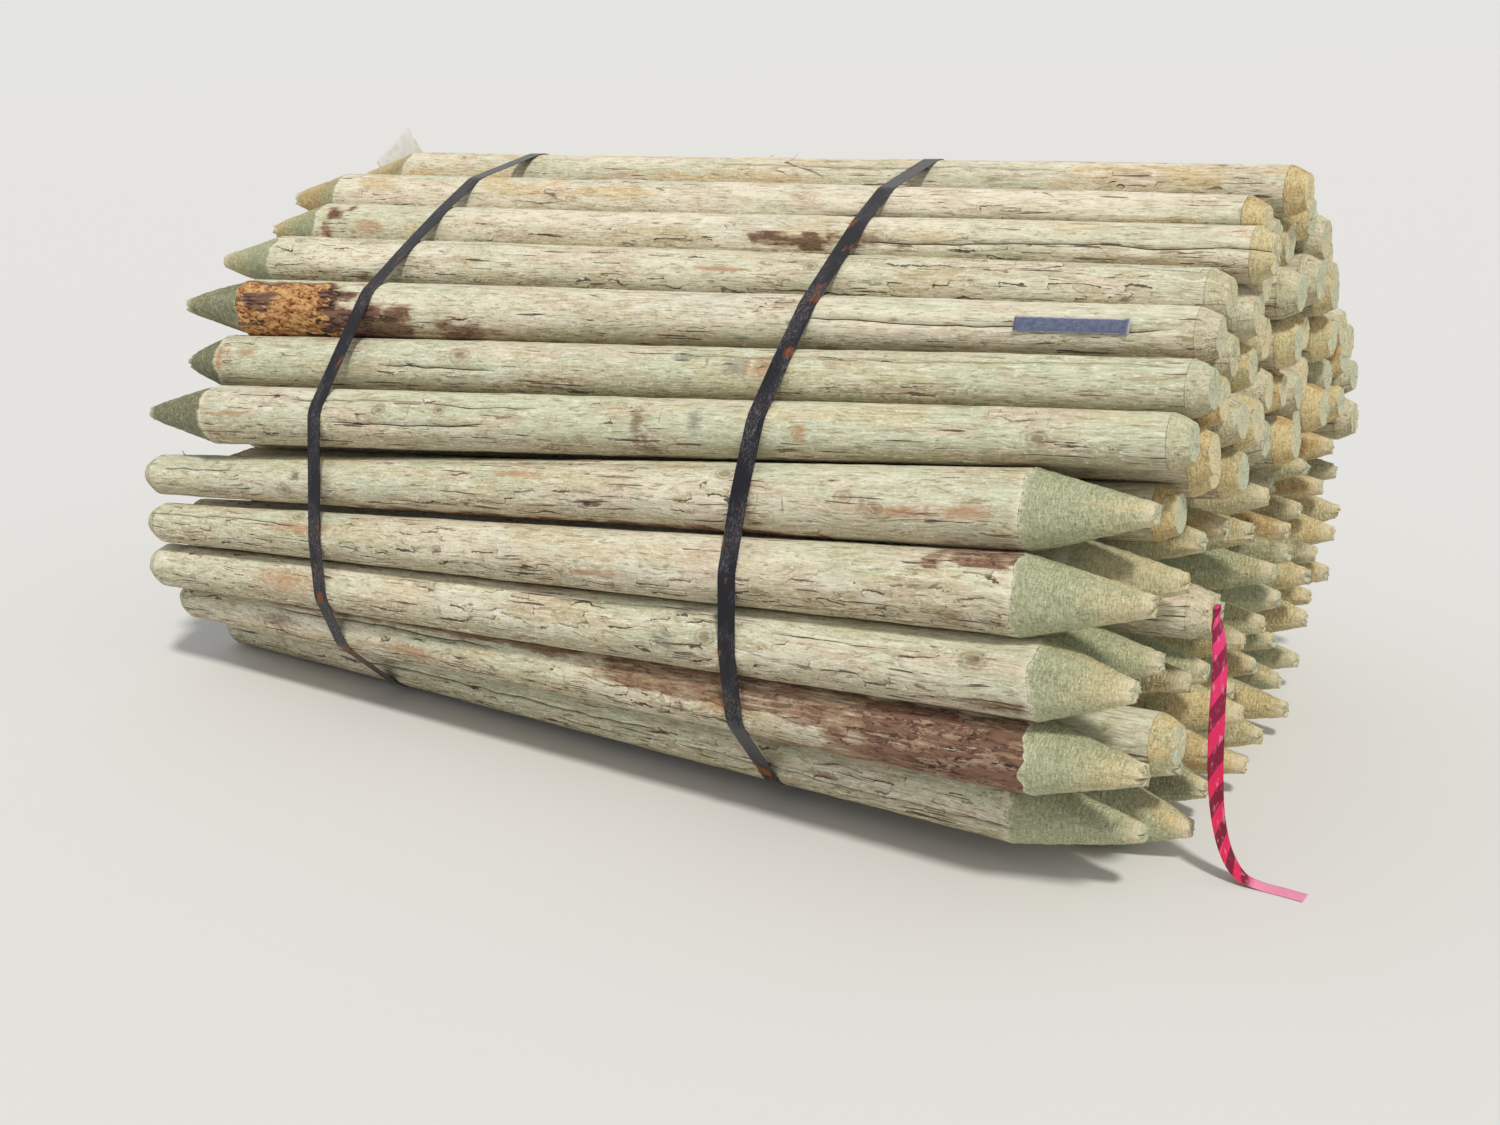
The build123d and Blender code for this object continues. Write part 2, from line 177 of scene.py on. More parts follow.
def loose_parts(mesh):
    """Corners of each separate solid in a node's mesh.

    Every corner takes the lowest number found in any triangle that it belongs to, until none changes.
    """
    places = np.empty(len(mesh.vertices) * 3)
    mesh.vertices.foreach_get("co", places)
    merged, number = np.unique(np.round(places.reshape(-1, 3), 6), axis=0, return_inverse=True)
    mesh.calc_loop_triangles()
    corners = np.empty(len(mesh.loop_triangles) * 3, int)
    mesh.loop_triangles.foreach_get("vertices", corners)
    corners = number.reshape(-1)[corners].reshape(-1, 3)
    part, before = np.arange(len(merged)), None
    while before is None or (part != before).any():
        before = part.copy()
        np.minimum.at(part, corners, part[corners].min(axis=1)[:, None])
        part = part[part]
    return [merged[part == which] for which in np.unique(part)]


def unit(vectors):
    """Vectors made one long."""
    return vectors / np.linalg.norm(vectors, axis=-1, keepdims=True)


def measure_post(points):
    """A post's axis and profile from its solid's corners.

    The axis is the straight line fitted through all corners, and the radii are those of the rings at the
    tip, at the foot of the point, where the chamfer starts and at the thin end.
    """
    x = points[:, 0]
    rise = [np.polyfit(x, points[:, axis], 1) for axis in (1, 2)]
    along = unit(np.array([1.0, rise[0][0], rise[1][0]]))
    origin = np.array([0.0, rise[0][1], rise[1][1]])
    place = (points - origin) @ along
    radius = np.linalg.norm(points - origin - place[:, None] * along, axis=1)
    ends = [radius[np.abs(place - end) < 0.001].max() for end in (place.min(), place.max())]
    if ends[0] < ends[1]:
        tip, distance = origin + along * place.min(), place - place.min()
    else:
        tip, distance = origin + along * place.max(), place.max() - place
        along = -along
    length = distance.max()
    before_chamfer = distance[distance < length - 0.025].max()
    return {
        "tip": tip,
        "along": along,
        "length": length,
        "point": distance[radius.argmax()],
        "chamfer": length - before_chamfer,
        "radii": (min(ends), radius.max(), radius[distance == before_chamfer].max(), max(ends)),
    }


def mark_seen(posts):
    """Marks the posts that can be seen from round the bundle, and the direction that each shows best.

    From every direction the posts are painted as stripes, far ones first, and what is left is seen.
    """
    middles = np.array([post["tip"] + post["along"] * post["length"] / 2 for post in posts])[:, 1:]
    radius = np.array([post["radii"][1] for post in posts])
    stripes = np.arange(-1, 1, SEEN_STRIPE)
    shown = np.zeros((len(posts), 2))
    for turn in np.linspace(-0.1, np.pi + 0.1, VIEWS_ROUND):
        towards = np.array([np.cos(turn), np.sin(turn)])
        across = middles @ np.array([-towards[1], towards[0]])
        painted = np.full(len(stripes), -1)
        for which in np.argsort(middles @ towards):
            painted[np.abs(stripes - across[which]) < radius[which]] = which
        count = np.bincount(painted[painted >= 0], minlength=len(posts))
        shown += np.where(count >= SEEN_LEAST, count, 0)[:, None] * towards
    outward = middles - SECTION_MIDDLE
    for post, middle, seen, away in zip(posts, middles, shown, outward):
        post["middle"] = middle
        post["seen"] = bool(np.abs(seen).sum() > 0)
        side = np.array([0.0, *(seen if post["seen"] else away)])
        side = unit(side - post["along"] * (side @ post["along"]))
        post["axes"] = np.stack([post["along"], side, np.cross(post["along"], side)])


def uneven(rng, rows, columns, along, around):
    """Smooth random heights between -1 and 1 on a post.

    Random numbers on a lattice that closes round the post, with a smooth step from each to the next.
    along runs from 0 to 1 and around is a share of a full turn.
    """
    values = rng.uniform(-1, 1, (rows + 1, columns))
    row, column = np.clip(along, 0, 1) * rows, (around % 1) * columns
    i, j = np.minimum(row.astype(int), rows - 1), column.astype(int) % columns
    u, v = row - i, column - np.floor(column)
    u, v = u * u * (3 - 2 * u), v * v * (3 - 2 * v)
    near = values[i, j] * (1 - v) + values[i, (j + 1) % columns] * v
    far = values[i + 1, j] * (1 - v) + values[i + 1, (j + 1) % columns] * v
    return near * (1 - u) + far * u


def soft_step(value, low, high):
    """0 below low, 1 above high and a smooth step between."""
    share = np.clip((value - low) / (high - low), 0, 1)
    return share * share * (3 - 2 * share)


def post_rings(post, counts):
    """Distances from the tip and radii of a post's rings, from the middle of its tip to that of its end.

    counts are the numbers of rings on the tip's face, the point, the body, the chamfer and the end face.
    The last column says what each ring lies on: 0 the body, 1 a cut slope, 2 an end face.
    """
    tip, foot, neck, end = post["radii"]
    length, point, chamfer = post["length"], post["point"], post["chamfer"]
    on_tip, on_point, on_body, on_chamfer, on_end = counts
    near_edges = [point + 2 * EDGE_LIP, length - chamfer - 2 * EDGE_LIP]
    body = np.sort([*np.linspace(point, length - chamfer, on_body), *near_edges])
    runs = [
        (np.zeros(on_tip), tip * np.linspace(0.25, 1, on_tip), 2),
        (np.linspace(EDGE_LIP, point - EDGE_LIP, on_point), np.linspace(tip, foot, on_point), 1),
        (body, np.interp(body, [point, length - chamfer], [foot, neck]), 0),
        (
            length - chamfer + np.linspace(EDGE_LIP, chamfer - EDGE_LIP, on_chamfer),
            neck + (end - neck) * np.linspace(0, 1, on_chamfer) ** 1.15,
            1,
        ),
        (np.full(on_end, length), end * np.array([0.985, 0.94, *np.linspace(0.75, 0.2, on_end - 2)]), 2),
    ]
    return np.concatenate([np.stack([s, r, np.full(len(s), kind)], 1) for s, r, kind in runs])


def nearest_spot(spots, s, around, radius):
    """Way to the nearest spot, in its own half sizes along and round the post, and the spot's tone."""
    way = np.full(around.shape + (3,), FAR_OFF)
    way[..., 2] = 0
    nearest = np.full(around.shape, np.inf)
    for at, home, half_long, half_high, tone in spots:
        over = (around - home + np.pi) % (2 * np.pi) - np.pi
        away = np.stack(np.broadcast_arrays((s - at) / half_long, over * radius / half_high), axis=-1)
        far = np.hypot(away[..., 0], away[..., 1])
        closer = far < nearest
        nearest = np.where(closer, far, nearest)
        way[closer, :2] = away[closer]
        way[closer, 2] = tone
    way[nearest > FAR_OFF] = (FAR_OFF, FAR_OFF, 0)
    return way, nearest


def post_surface(post, rng, counts, columns):
    """A post as a grid of rings and columns, and what its wood is like at each corner.

    A ring's radius is the profile's, made slightly oval and uneven, raised where a knot or a piece of
    bark is, and cut in where the wood has cracked. A crack keeps five columns to itself and takes the
    columns beside it along as it wanders round the post. Under the straps nothing stands out.
    """
    rings = post_rings(post, counts)
    s, radius, kind = (column[:, None] for column in rings.T)
    length, point = post["length"], post["point"]
    share = s / length
    turn = np.linspace(-1, 1, columns, endpoint=False)
    angle = np.pi * turn - 0.55 * np.sin(np.pi * turn)
    cracks = []
    for home, start, stop in post["cracks"]:
        centre = np.abs(angle - home).argmin()
        if 4 <= centre <= columns - 5 and all(abs(centre - other[0]) >= 6 for other in cracks):
            cracks.append((centre, angle[centre], start, stop))
    base = angle.copy()
    for centre, home, start, stop in cracks:
        half = CRACK_WIDTH / post["radii"][1]
        base[centre - 2 : centre + 3] = home + half * np.linspace(-1, 1, 5)
    around = np.repeat(base[None, :], len(s), axis=0)
    crack = np.zeros_like(around)
    for centre, home, start, stop in cracks:
        wander = 0.10 * uneven(rng, 14, 3, share, 0 * share) + 0.05 * uneven(rng, 60, 3, share, 0 * share)
        near = np.clip(1 - np.abs(base - home) / PULL_OF_CRACK, 0, 1)
        around = around + wander * np.where(np.abs(base - home) < 0.05, 1, near)[None, :]
        opened = soft_step(share, start, start + 0.03) * (1 - soft_step(share, stop - 0.03, stop))
        shape = np.zeros(columns)
        shape[centre - 1 : centre + 2] = (0.6, 1, 0.6)
        crack = np.maximum(crack, opened * shape[None, :])
    share_round = around / (2 * np.pi)
    body, cut, end = (np.where(kind == which, 1.0, 0.0) for which in range(3))
    along, side, up = post["axes"]
    under = np.cos(around) * side[2] + np.sin(around) * up[2]
    from_strap = np.abs(post["tip"][0] + along[0] * s - np.array(STRAP_MIDDLES)[None, :]).min(axis=1)[:, None]
    free = soft_step(from_strap, *CLEAR_OF_STRAP)

    def rough(rows, columns, along=share):
        """Random heights over this post."""
        return uneven(rng, rows, columns, along, share_round)

    height = 0.0010 * rough(7, 5) + 0.0008 * rough(24, 14) + 0.0005 * body * rough(90, 34)
    height = height + SAWN_ROUGHNESS * cut * rough(300, 34)
    knot, to_knot = nearest_spot(post["knots"], s, around, radius)
    height = height + KNOT_SWELLING * body * (np.exp(-((to_knot / 2.2) ** 2)) - 0.5 * np.exp(-(to_knot**2)))
    stain, to_stain = nearest_spot(post["stains"], s, around, radius)
    height = height - 0.003 * body * (1 - soft_step(to_stain, 0.5, 1.1)) * soft_step(stain[..., 2], 0.7, 0.8)
    bark = np.zeros_like(around)
    for start, stop, low, high, thick, whole in post["bark"]:
        middle, half = (low + high) / 2, (high - low) / 2
        ragged = rough(80, 20)
        lengthways = soft_step(s + 0.012 * ragged, start, start + 0.02)
        lengthways = lengthways * (1 - soft_step(s + 0.05 * ragged, stop - 0.10, stop))
        sideways = 1 - soft_step(np.abs(around - middle) + 0.16 * ragged, half * 0.8, half * 1.1)
        patch = lengthways * sideways * body
        bark = np.maximum(bark, patch * whole)
        lumps = 0.5 + 0.40 * rough(80, 24) + 0.35 * rough(190, 50)
        height = height + thick * patch * lumps
    height = height - CRACK_DEPTH * crack * (body + 0.5 * cut)
    height = height * free + np.minimum(height, 0) * (1 - free)
    oval = OVAL * radius * np.cos(2 * around + rng.uniform(0, 6)) * free
    radial = radius + oval + np.where(kind == 2, 0.4, 1.0) * height - 0.0004
    jagged = np.abs(rough(1, 11, 0 * around)) + 0.4 * np.abs(rough(1, 29, 0 * around))
    torn = TORN_TIP * post["torn"] * jagged * (1 - soft_step(s, 0.0, 0.05))
    torn = torn * np.where((kind == 2) & (s < 0.01), 0.4 + 0.6 * radius / post["radii"][0], 1.0)
    frayed = post["frayed"] * jagged * soft_step(s, length - 0.04, length)
    fuzz = SAW_MARKS * end * rough(40, 40, radius / 0.06 + 0 * around)
    place = s + torn - frayed + np.where(s < point, fuzz, fuzz - 0.0004)
    place = place + UNEVEN_FOOT * np.exp(-(((s - point) / 0.03) ** 2)) * (jagged - 0.5)
    span = (post["tip"][0] + along[0] * s) / length + 0.5
    first, second = (np.array(STRAP_MIDDLES) + length / 2) / length
    bend = 16 * (span - first) * (span - second) * np.sin(np.pi * np.clip(span, 0, 1))
    bow = BOW * rng.uniform(-1, 1, 2)
    across = radial * np.cos(around) + bow[0] * bend
    upwards = radial * np.sin(around) + bow[1] * bend
    checked = post["checked"] * (0.35 + 0.65 * soft_step(-under, -0.35, 0.5)) + 0.5 * rough(9, 4)
    looks = {
        "in_post": np.stack(np.broadcast_arrays(place, radial * np.cos(around), radial * np.sin(around)), -1),
        "knot": knot,
        "stain": stain,
        "wear": np.stack(np.broadcast_arrays(np.clip(checked, 0, 1), post["ridged"], under), -1),
        "cut": np.broadcast_to(cut, around.shape),
        "end": np.broadcast_to(end, around.shape),
        "bark": bark,
        "crack": crack * (1 - end),
        "rim": body * np.exp(-(((s - point) / 0.016) ** 2)) + 0 * around,
        "weathered": np.full(around.shape, post["weathered"]),
        "foot": (1 - end) * np.exp(-(((s - point) / 0.0045) ** 2)) + 0 * around,
    }
    blotches = []
    for rows, columns in ((5, 4), (14, 9), (24, 13)):
        blotches.append(0.5 + 0.26 * rough(rows, columns) + 0.13 * rough(3 * rows, 3 * columns))
    looks["blotches"] = np.stack(np.broadcast_arrays(*blotches), -1)
    return np.stack(np.broadcast_arrays(place, across, upwards), -1), looks


def sliver(post, at, home, length, width, lift, slant):
    """A splinter that stands up from a post: a thin strip that narrows to a point and curls away.

    Its middle line leaves the surface at the distance at from the tip and the direction home, and rises
    with the square of its length.
    """
    rows, columns = 6, 4
    t = np.linspace(0, 1, rows)[:, None]
    phi = np.arange(columns)[None, :] * np.pi / 2
    radius = np.interp(at, [0, post["point"], post["length"]], post["radii"][:3])
    out = np.array([0.0, np.cos(home), np.sin(home)])
    sideways = np.array([0.0, -np.sin(home), np.cos(home)])
    heading = np.array([np.cos(slant), 0.0, 0.0]) + np.sin(slant) * sideways
    start = np.array([at, 0.0, 0.0]) + out * (radius - 0.0015)
    line = start + (length * t) * heading + (lift * (0.35 * t + 0.65 * t**2)) * out
    flat = np.cross(out, heading)
    narrowing = width * (1.03 - t) ** 0.6
    wide = narrowing * np.cos(phi)
    thick = 0.25 * narrowing * np.sin(phi)
    grid = line[:, None, :] + wide[..., None] * flat + thick[..., None] * np.cross(heading, flat)
    spare = np.full((rows, columns, 3), FAR_OFF) * (1, 1, 0)
    zero = np.zeros((rows, columns))
    looks = {"in_post": grid.copy(), "knot": spare, "stain": spare, "wear": np.zeros((rows, columns, 3))}
    looks["blotches"] = np.full((rows, columns, 3), 0.5)
    return grid, looks | dict.fromkeys(PLAIN_LOOKS, zero)


def close_post(grid, looks):
    """Corners, quads and end triangles of a post's grid, with a middle corner added at each end."""
    rows, columns = grid.shape[:2]
    number = np.arange(rows * columns).reshape(rows, columns)
    after = np.roll(number, -1, axis=1)
    quads = np.stack([number[:-1], after[:-1], after[1:], number[1:]], -1).reshape(-1, 4)
    first, last = rows * columns, rows * columns + 1
    start = np.stack([np.full(columns, first), after[0], number[0]], -1)
    stop = np.stack([np.full(columns, last), number[-1], after[-1]], -1)
    middles = grid[[0, -1]].mean(axis=1)
    points = np.concatenate([grid.reshape(-1, 3), middles])
    closed = {}
    for name, values in looks.items():
        flat = values.reshape(rows * columns, -1)
        closed[name] = np.concatenate([flat, values[[0, -1]].reshape(2, columns, -1).mean(axis=1)])
    return points, quads, np.concatenate([start, stop]), closed


def new_mesh(name, points, quads, triangles, values):
    """A smooth mesh from whole arrays, with one attribute for each entry of values."""
    mesh = bpy.data.meshes.new(name)
    mesh.vertices.add(len(points))
    mesh.vertices.foreach_set("co", points.astype(np.float32).ravel())
    corners = np.concatenate([quads.ravel(), triangles.ravel()]).astype(np.int32)
    starts = np.concatenate([np.arange(len(quads)) * 4, len(quads) * 4 + np.arange(len(triangles)) * 3])
    mesh.loops.add(len(corners))
    mesh.loops.foreach_set("vertex_index", corners)
    mesh.polygons.add(len(starts))
    mesh.polygons.foreach_set("loop_start", starts.astype(np.int32))
    mesh.update(calc_edges=True)
    mesh.shade_smooth()
    for attribute, array in values.items():
        kind = ("FLOAT", "value") if array.shape[1] == 1 else ("FLOAT_VECTOR", "vector")
        layer = mesh.attributes.new(attribute, kind[0], "POINT")
        layer.data.foreach_set(kind[1], array.astype(np.float32).ravel())
    return mesh


posts = []
for layer in LAYERS:
    for points in loose_parts(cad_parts[layer].data):
        posts.append(measure_post(points) | {"layer": layer})
mark_seen(posts)


def post_at(place):
    """The post whose section has its middle nearest to a place."""
    return min(posts, key=lambda post: np.linalg.norm(post["middle"] - place))


def on_post(post, x, degrees):
    """Distance from the tip and direction in the post's own section of a place given along X."""
    along, side, up = post["axes"]
    turn = np.radians(degrees)
    way = np.array([0.0, -np.cos(turn), np.sin(turn)])
    return (x - post["tip"][0]) / along[0], np.arctan2(way @ up, way @ side)


def marked(table):
    """Each mark of a table: its post, its distance from the tip and direction there, and the rest of it."""
    for number, marks in table.items():
        post = front_row[number]
        for x, degrees, *rest in marks:
            yield post, on_post(post, x, degrees), rest


wood_rng = np.random.default_rng(41)
for number, post in enumerate(posts):
    post["number"] = number
    post["torn"] = wood_rng.uniform(0.3, 1.8)
    post["frayed"] = 0.001 * wood_rng.uniform(0.3, 3)
    post["tone"] = (*wood_rng.beta(2, 2, 2), wood_rng.uniform(0, 1))
    post["ridged"] = wood_rng.uniform(0, 1) ** 2
    post["checked"] = wood_rng.uniform(0.0, 0.7)
    post["weathered"] = 0.7 * wood_rng.uniform(0, 1) ** 3
    post["knots"], post["stains"], post["cracks"], post["bark"], post["slivers"] = [], [], [], [], []
front_row = {number: post_at((y, z)) for number, (y, z, _, _) in FRONT_ROW.items()}
for number in HEAVY_CHECKS:
    front_row[number]["checked"] = 1.0
for number, weathered in SHADED_WEATHERED_POINTS.items():
    front_row[number]["weathered"] = weathered
for post, where, rest in marked(TORN):
    post["slivers"].append((*where, *rest, 0.25))
for post, where, (size,) in marked(KNOTS):
    post["knots"].append((*where, 1.5 * size, size, 0.4))
for post, where, rest in marked(STAINS):
    post["stains"].append((*where, *rest))
for number, marks in LONG_CRACKS.items():
    post = front_row[number]
    for start, stop, degrees in marks:
        ends = sorted(on_post(post, x, degrees)[0] / post["length"] for x in (start, stop))
        post["cracks"].append((on_post(post, start, degrees)[1], *ends))
for number, marks in BARK.items():
    post = front_row[number]
    for start, stop, low, high, *rest in marks:
        ends = sorted(on_post(post, x, 0)[0] for x in (start, stop))
        sides = sorted(on_post(post, 0, degrees)[1] for degrees in (low, high))
        post["bark"].append((*ends, *sides, *rest))
for number, (_, _, green, warm) in FRONT_ROW.items():
    front_row[number]["tone"] = (green, warm, wood_rng.uniform(0, 1))
for post in posts:
    if not post["seen"]:
        continue
    point, length = post["point"], post["length"]
    for _ in range(wood_rng.integers(3, 8)):
        at, size = wood_rng.uniform(point + 0.05, length - 0.08), wood_rng.uniform(0.005, 0.010)
        home, tone = wood_rng.uniform(-np.pi, np.pi), wood_rng.uniform(0, 1) ** 0.5
        post["knots"].append((at, home, 1.6 * size, size, tone))
    for _ in range(wood_rng.integers(1, 4)):
        start = wood_rng.uniform(0.05, 0.8)
        post["cracks"].append((wood_rng.uniform(-1.1, 1.1), start, start + wood_rng.uniform(0.12, 0.4)))
    for _ in range(wood_rng.integers(1, 5)):
        at, tone = wood_rng.uniform(point, length), wood_rng.choice([0.1, 0.35, 0.35, 0.6])
        size = wood_rng.uniform(0.004, 0.010)
        stain = (at, wood_rng.uniform(-np.pi, np.pi), size * wood_rng.uniform(1.5, 6), size, tone)
        post["stains"].append(stain)
    for _ in range(wood_rng.integers(2, 7)):
        at = wood_rng.uniform(point + 0.02, length - 0.10)
        home, slant = wood_rng.uniform(-1.3, 1.3), wood_rng.uniform(-0.5, 0.5)
        long, lift = wood_rng.uniform(0.012, 0.045), wood_rng.uniform(0.002, 0.012)
        post["slivers"].append((at, home, long, wood_rng.uniform(0.0008, 0.0020), lift, slant))


def lay_post(post):
    """One finished post and its splinters in their place, as pieces of one mesh."""
    rng = np.random.default_rng([97, post["number"]])
    counts, columns = SEEN_GRID if post["seen"] else HIDDEN_GRID
    grids = [post_surface(post, rng, counts, columns)] + [sliver(post, *size) for size in post["slivers"]]
    laid, start = [], 0
    for grid, looks in grids:
        points, quads, triangles, closed = close_post(grid, looks)
        closed["tone"] = np.repeat(np.array(post["tone"])[None, :], len(points), axis=0)
        points = np.clip(post["tip"] + points @ post["axes"], *cad_box)
        laid.append((points, quads + start, triangles + start, closed))
        start += len(points)
    return laid, start


class Field:
    """An output of a shader's nodes: a number, colour or place that changes over the surface.

    Arithmetic on fields adds the nodes that work it out. It gives a vector where any side is one.
    """

    def __init__(self, socket):
        self.socket = socket
        self.tree = socket.id_data

    def worked(self, operation, *others, out=0):
        """One arithmetic step on this field and others."""
        sides = (self, *others)
        kinds = [side.socket.type if isinstance(side, Field) else type(side) for side in sides]
        kind = "ShaderNodeVectorMath" if "VECTOR" in kinds or tuple in kinds else "ShaderNodeMath"
        return add_node(self.tree, kind, dict(enumerate(sides)), out=out, operation=operation)

    def __add__(self, other):
        return self.worked("ADD", other)

    def __sub__(self, other):
        return self.worked("SUBTRACT", other)

    def __mul__(self, other):
        return self.worked("MULTIPLY", other)

    def away(self, middle):
        """How far a number is from a middle value, to either side."""
        return (self - middle).worked("ABSOLUTE")

    def length(self):
        """How long a vector is."""
        return self.worked("LENGTH", out=1)

    def step(self, low, high):
        """0 where the field is at low and 1 where it is at high, with a smooth step between."""
        inputs = {"Value": self, "From Min": low, "From Max": high}
        return add_node(self.tree, "ShaderNodeMapRange", inputs, interpolation_type="SMOOTHSTEP")

    def noise(self, scale, detail=3, roughness=0.5, distortion=0.0):
        """Soft random values around 0.5. scale is one number, or one along and one across the length."""
        place = self
        if isinstance(scale, tuple):
            place, scale = self * (scale[0], scale[1], scale[-1]), 1
        inputs = {"Vector": place, "Scale": scale, "Detail": detail}
        inputs |= {"Roughness": roughness, "Distortion": distortion}
        return add_node(self.tree, "ShaderNodeTexNoise", inputs)

    def parts(self):
        """The three numbers of a vector."""
        split = add_node(self.tree, "ShaderNodeSeparateXYZ", {0: self})
        return [Field(output) for output in split.socket.node.outputs]


def add_node(tree, kind, inputs=None, out=0, **settings):
    """Adds one shader node and gives back the output that is used. inputs are numbers or fields."""
    node = tree.nodes.new(kind)
    for name, value in settings.items():
        setattr(node, name, value)
    for key, value in (inputs or {}).items():
        connect(tree, value, node.inputs[key])
    return Field(node.outputs[out])


def connect(tree, value, socket):
    """Leads a field to a socket, or sets a plain value or a colour off the screen on it."""
    if isinstance(value, Field):
        tree.links.new(value.socket, socket)
    else:
        colour = socket.type == "RGBA" and len(value) == 3
        socket.default_value = paint(*value) if colour else value


def joined(x, y):
    """The vector (x, y, 0)."""
    return add_node(x.tree, "ShaderNodeCombineXYZ", {0: x, 1: y})


def between(share, first, second):
    """The number first where share is 0 and second where it is 1."""
    return add_node(share.tree, "ShaderNodeMix", {0: share, 2: first, 3: second})


def paint(red, green, blue):
    """A colour as it is read off a screen, from 0 to 255, as the shader needs it."""
    values = np.array([red, green, blue]) / 255
    linear = np.where(values < 0.04045, values / 12.92, ((values + 0.055) / 1.055) ** 2.4)
    return (*map(float, linear), 1.0)


def blended(share, first, second, strength=1.0):
    """The colour first where share is 0 and, at full strength, second where it is 1."""
    if strength != 1.0:
        share = share * strength
    return add_node(share.tree, "ShaderNodeMix", {0: share, 6: first, 7: second}, out=2, data_type="RGBA")


def coated(tone, *coats):
    """A colour with coats laid over it in turn. Each is where it lies, its colour and how strong it is."""
    for share, *coat in coats:
        tone = blended(share, tone, *coat)
    return tone


def new_material(name):
    """A material with its shader, ready for finish_material."""
    material = bpy.data.materials.new(name)
    material.use_nodes = True
    return material, material.node_tree


def finish_material(material, colour, roughness, height, depth, strength, specular=0.5):
    """Gives a shader its colour and roughness, and a relief that is depth metres deep for a height of 1."""
    tree = material.node_tree
    bump = add_node(tree, "ShaderNodeBump", {"Height": height, "Distance": depth, "Strength": strength})
    looks = {"Base Color": colour, "Roughness": roughness, "Normal": bump, "Specular IOR Level": specular}
    for name, value in looks.items():
        connect(tree, value, tree.nodes["Principled BSDF"].inputs[name])
    return material


